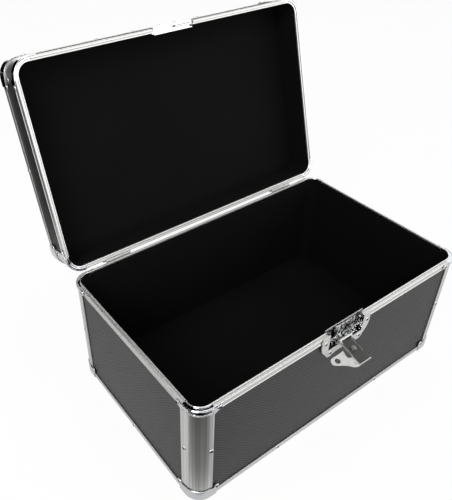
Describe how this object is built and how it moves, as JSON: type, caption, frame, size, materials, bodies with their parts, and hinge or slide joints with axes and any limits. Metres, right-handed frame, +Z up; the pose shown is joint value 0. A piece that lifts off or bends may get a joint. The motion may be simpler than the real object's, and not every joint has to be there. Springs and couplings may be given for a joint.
{
  "type": "record carrying case",
  "caption": "Rectangular flight case for small records: black panels in aluminium edging, chromed corners, hinged lid held open, lever latch with padlock tab, drop handle.",
  "frame": {"origin": "the middle of the floor inside, on the lining, where the records stand; it lies 6.7 mm above the surface that the corner caps stand on", "axes": "+Z up, -Y to the front with the latch, +X to the right as seen from the front; the lid is stored open to the back"},
  "size_m": [0.4018, 0.3903, 0.3901],
  "materials": {
    "faced_board": "thin board faced with a fine-dimpled black plastic sheet",
    "lining": "dull black lining sheet",
    "aluminium": "satin extruded aluminium",
    "chrome": "polished chrome on pressed steel",
    "zinc_plate": "bright plated steel",
    "spring_steel": "plain steel wire and rod",
    "grip": "black moulded grip"
  },
  "bodies": {
    "base": {"base_front_panel": "faced_board", "base_back_panel": "faced_board", "base_left_panel": "faced_board", "base_right_panel": "faced_board", "base_bottom_panel": "faced_board", "base_lining": "lining", "base_rim": "aluminium", "base_edge_strip": "aluminium", "base_post_front_left": "aluminium", "base_post_front_right": "aluminium", "base_post_back_left": "aluminium", "base_post_back_right": "aluminium", "base_rim_cap_front_left": "chrome", "base_rim_cap_front_right": "chrome", "base_rim_cap_back_left": "chrome", "base_rim_cap_back_right": "chrome", "base_corner_cap_front_left": "chrome", "base_corner_cap_front_right": "chrome", "base_corner_cap_back_left": "chrome", "base_corner_cap_back_right": "chrome", "base_hinge_leaf_left": "zinc_plate", "base_hinge_leaf_right": "zinc_plate", "hinge_pin_left": "spring_steel", "hinge_pin_right": "spring_steel", "latch_base": "zinc_plate", "latch_flap_pin": "spring_steel", "latch_hook_pin": "spring_steel", "latch_hook_spring": "spring_steel"},
    "lid": {"lid_front_panel": "faced_board", "lid_back_panel": "faced_board", "lid_left_panel": "faced_board", "lid_right_panel": "faced_board", "lid_top_panel": "faced_board", "lid_lining": "lining", "lid_rim": "aluminium", "lid_edge_strip": "aluminium", "lid_post_front_left": "aluminium", "lid_post_front_right": "aluminium", "lid_post_back_left": "aluminium", "lid_post_back_right": "aluminium", "lid_rim_cap_front_left": "chrome", "lid_rim_cap_front_right": "chrome", "lid_rim_cap_back_left": "chrome", "lid_rim_cap_back_right": "chrome", "lid_corner_cap_front_left": "chrome", "lid_corner_cap_front_right": "chrome", "lid_corner_cap_back_left": "chrome", "lid_corner_cap_back_right": "chrome", "lid_hinge_leaf_left": "zinc_plate", "lid_hinge_leaf_right": "zinc_plate", "lid_catch": "chrome", "handle_bracket_left": "chrome", "handle_bracket_right": "chrome"},
    "flap": {"latch_flap": "chrome", "padlock_tab": "zinc_plate", "lock_barrel": "zinc_plate"},
    "plug": {"lock_plug": "zinc_plate"},
    "hook": {"latch_hook": "chrome"},
    "handle": {"handle_bail": "chrome", "handle_grip": "grip"}
  },
  "joints": [
    {"name": "lid_hinge", "type": "hinge", "parent": "base", "child": "lid", "pos_m": [0, 0.1235, 0.1459], "axis": [1, 0, 0], "range_deg": [0, 106.2]},
    {"name": "flap_pivot", "type": "hinge", "parent": "base", "child": "flap", "pos_m": [0, -0.1229, 0.1257], "axis": [1, 0, 0], "range_deg": [-102.8, 0]},
    {"name": "hook_pivot", "type": "hinge", "parent": "base", "child": "hook", "pos_m": [0, -0.1204, 0.1333], "axis": [1, 0, 0], "range_deg": [0, 4.5]},
    {"name": "lock_turn", "type": "hinge", "parent": "flap", "child": "plug", "pos_m": [0, -0.13655, 0.1226], "axis": [0, 0.2215, -0.9751], "range_deg": [0, 90]},
    {"name": "handle_pivot", "type": "hinge", "parent": "lid", "child": "handle", "pos_m": [0, 0.2077, 0.25004], "axis": [1, 0, 0], "range_deg": [-14, 161]}
  ],
  "couplings": [
    {"joint": "hook_pivot", "follows": "flap_pivot", "ratio": -0.0437}
  ]
}
